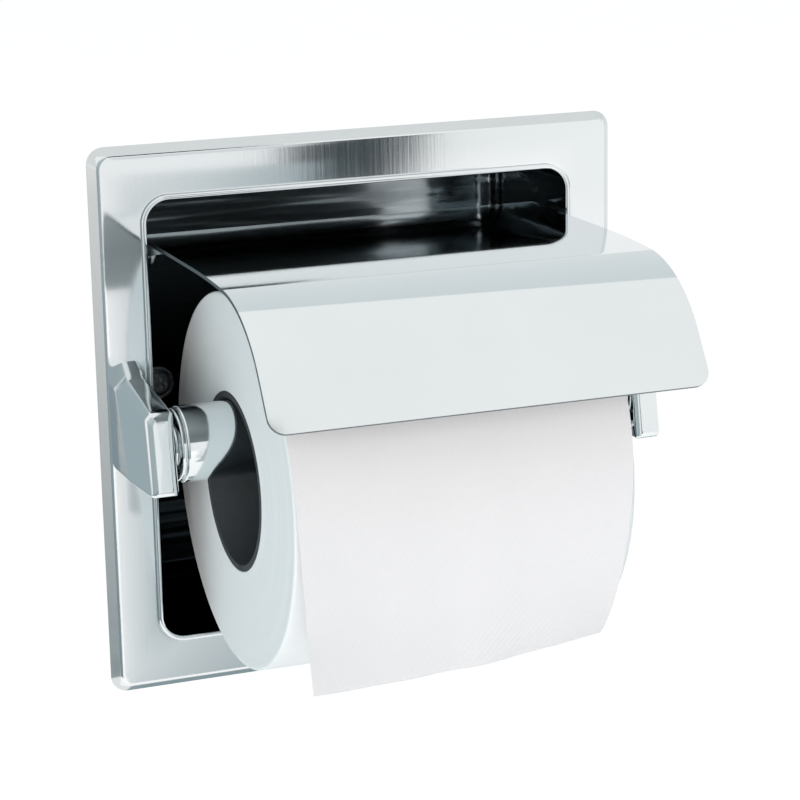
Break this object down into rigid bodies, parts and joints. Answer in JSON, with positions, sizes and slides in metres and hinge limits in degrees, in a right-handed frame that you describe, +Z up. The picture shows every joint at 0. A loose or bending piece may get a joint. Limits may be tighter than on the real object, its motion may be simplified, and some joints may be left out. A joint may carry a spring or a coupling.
{
  "type": "recessed toilet roll holder",
  "caption": "Recessed chrome toilet roll holder: square wall flange and pan, lift-up hood, sprung roller between two posts, and a hanging paper roll.",
  "frame": {"origin": "centre of the flange on the wall's surface", "axes": "+X to the right as seen from the room, +Y back into the wall, +Z up"},
  "size_m": [0.157, 0.1759, 0.157],
  "materials": {
    "flange_chrome": "polished chrome on pressed steel, lightly brushed",
    "pan_dark": "dark mirror-polished metal",
    "hood_chrome": "mirror chrome on bent steel sheet",
    "post_chrome": "chrome on die-cast zinc",
    "roller_chrome": "bright chrome",
    "steel": "plain bright steel",
    "zinc_steel": "zinc-plated steel strip",
    "cardboard": "dark grey spiral-wound card",
    "paper": "white soft embossed tissue",
    "wound_tissue": "white soft tissue wound to a roll"
  },
  "bodies": {
    "wall_unit": {"trim_flange": "flange_chrome", "recess_pan": "pan_dark", "left_post": "post_chrome", "right_post": "post_chrome", "left_post_screws": "steel", "right_post_screws": "steel", "left_hinge_pin": "steel", "right_hinge_pin": "steel", "left_hinge_clip": "steel", "right_hinge_clip": "steel", "left_hood_stop": "steel", "right_hood_stop": "steel", "left_cup_washer": "steel", "right_cup_washer": "steel"},
    "hood": {"hood": "hood_chrome"},
    "roller_outer": {"roller_outer_half": "roller_chrome", "left_end_plug": "roller_chrome", "roller_spring": "steel"},
    "roller_inner": {"roller_inner_half": "roller_chrome", "right_end_plug": "roller_chrome"},
    "paper_roll": {"paper_roll": "wound_tissue", "core_tube": "cardboard"},
    "paper_tail": {"paper_tail": "paper"},
    "left_clamp": {"left_clamp": "zinc_steel", "left_clamp_nut": "zinc_steel"},
    "right_clamp": {"right_clamp": "zinc_steel", "right_clamp_nut": "zinc_steel"},
    "left_clamp_screw": {"left_clamp_screw": "steel"},
    "right_clamp_screw": {"right_clamp_screw": "steel"}
  },
  "joints": [
    {"name": "hood_hinge", "type": "hinge", "parent": "wall_unit", "child": "hood", "pos_m": [0, 0.0095, 0.0459], "axis": [-1, 0, 0], "range_deg": [0, 36]},
    {"name": "roll_spin", "type": "hinge", "parent": "wall_unit", "child": "paper_roll", "pos_m": [0, -0.03, -0.0112], "axis": [1, 0, 0], "continuous": true},
    {"name": "roller_spin", "type": "hinge", "parent": "wall_unit", "child": "roller_outer", "pos_m": [0, -0.03, 0.001], "axis": [1, 0, 0], "continuous": true},
    {"name": "roller_compress", "type": "slide", "parent": "roller_outer", "child": "roller_inner", "axis": [-1, 0, 0], "range_m": [0, 0.012], "stiffness_N_per_m": 350, "springref_m": -0.006, "deforming": ["roller_spring"]},
    {"name": "paper_tail_swing", "type": "hinge", "parent": "wall_unit", "child": "paper_tail", "pos_m": [0, -0.07452, 0.01662], "axis": [-1, 0, 0], "range_deg": [0, 40]},
    {"name": "left_clamp_draw", "type": "slide", "parent": "wall_unit", "child": "left_clamp", "axis": [0, 1, 0], "range_m": [-0.003, 0.01]},
    {"name": "left_clamp_screw_turn", "type": "hinge", "parent": "wall_unit", "child": "left_clamp_screw", "pos_m": [-0.047, 0.05, -0.0015], "axis": [0, 1, 0], "range_deg": [-4500.5, 1350.5]},
    {"name": "right_clamp_draw", "type": "slide", "parent": "wall_unit", "child": "right_clamp", "axis": [0, 1, 0], "range_m": [-0.003, 0.01]},
    {"name": "right_clamp_screw_turn", "type": "hinge", "parent": "wall_unit", "child": "right_clamp_screw", "pos_m": [0.047, 0.05, -0.0015], "axis": [0, 1, 0], "range_deg": [-4500.5, 1350.5]}
  ],
  "couplings": [
    {"joint": "roller_spin", "follows": "roll_spin", "ratio": 2.1905},
    {"joint": "left_clamp_screw_turn", "follows": "left_clamp_draw", "rad_per_m": -7854},
    {"joint": "right_clamp_screw_turn", "follows": "right_clamp_draw", "rad_per_m": -7854}
  ]
}
